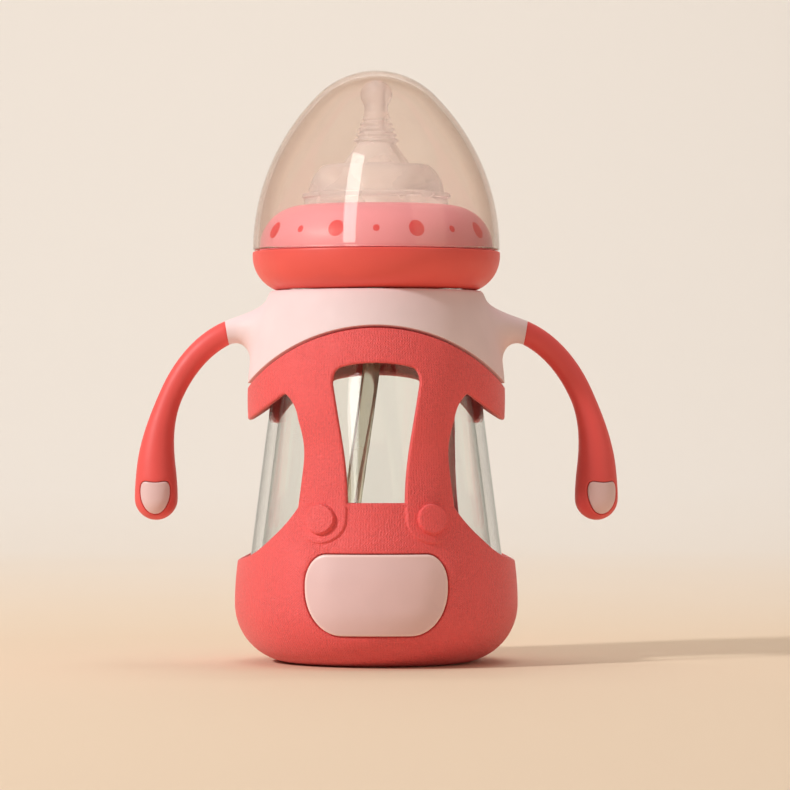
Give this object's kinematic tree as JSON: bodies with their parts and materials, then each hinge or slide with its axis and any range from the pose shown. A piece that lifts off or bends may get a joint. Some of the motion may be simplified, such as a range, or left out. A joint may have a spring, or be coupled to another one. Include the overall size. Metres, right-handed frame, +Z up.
{
  "type": "baby bottle",
  "caption": "Glass baby bottle in a windowed silicone sleeve, with handle yoke, screw collar, ribbed teat, weighted straw and clear dome cap.",
  "frame": {"origin": "on the floor under the bottle's axis", "axes": "+Z up along the bottle's axis, front with the belly patch towards -Y, handles along X"},
  "size_m": [0.1454, 0.0851, 0.1771],
  "materials": {
    "clear_glass": "clear polished glass",
    "coral_silicone": "matt silicone with a fine woven emboss",
    "coral_grip": "soft satin silicone",
    "coral_band": "satin moulded plastic",
    "pale_silicone": "soft satin silicone",
    "pale_plastic": "satin moulded plastic",
    "pink_plastic": "glossy moulded plastic with a printed dot pattern",
    "clear_plastic": "clear tinted plastic",
    "clear_silicone": "translucent silicone",
    "hose_silicone": "translucent silicone",
    "white_plastic": "satin moulded plastic",
    "steel": "brushed stainless steel"
  },
  "bodies": {
    "bottle": {"bottle_glass": "clear_glass", "sleeve": "coral_silicone", "belly_patch": "pale_silicone", "handle_yoke": "pale_plastic", "grip_left": "coral_grip", "grip_right": "coral_grip", "palm_left": "pale_silicone", "palm_right": "pale_silicone"},
    "head": {"nipple": "clear_silicone", "straw_disc": "white_plastic", "vent_valve": "clear_silicone"},
    "collar": {"screw_collar": "pink_plastic", "collar_band": "coral_band"},
    "cap": {"dust_cap": "clear_plastic"},
    "straw": {"straw_hose": "hose_silicone", "weight_upper_shell": "white_plastic", "weight_lower_shell": "white_plastic", "weight_ring": "steel"}
  },
  "joints": [
    {"name": "head_rise", "type": "slide", "parent": "bottle", "child": "head", "axis": [0, 0, 1], "range_m": [0, 0.0063]},
    {"name": "collar_unscrew", "type": "hinge", "parent": "head", "child": "collar", "pos_m": [0, 0, 0.12], "axis": [0, 0, 1], "range_deg": [0, 450]},
    {"name": "cap_lift", "type": "slide", "parent": "collar", "child": "cap", "axis": [0, 0, 1], "range_m": [0, 0.07]},
    {"name": "straw_swivel", "type": "hinge", "parent": "head", "child": "straw", "pos_m": [0, 0, 0.12], "axis": [0, 0, 1], "continuous": true}
  ],
  "couplings": [
    {"joint": "head_rise", "follows": "collar_unscrew", "m_per_rad": 0.00079577}
  ]
}
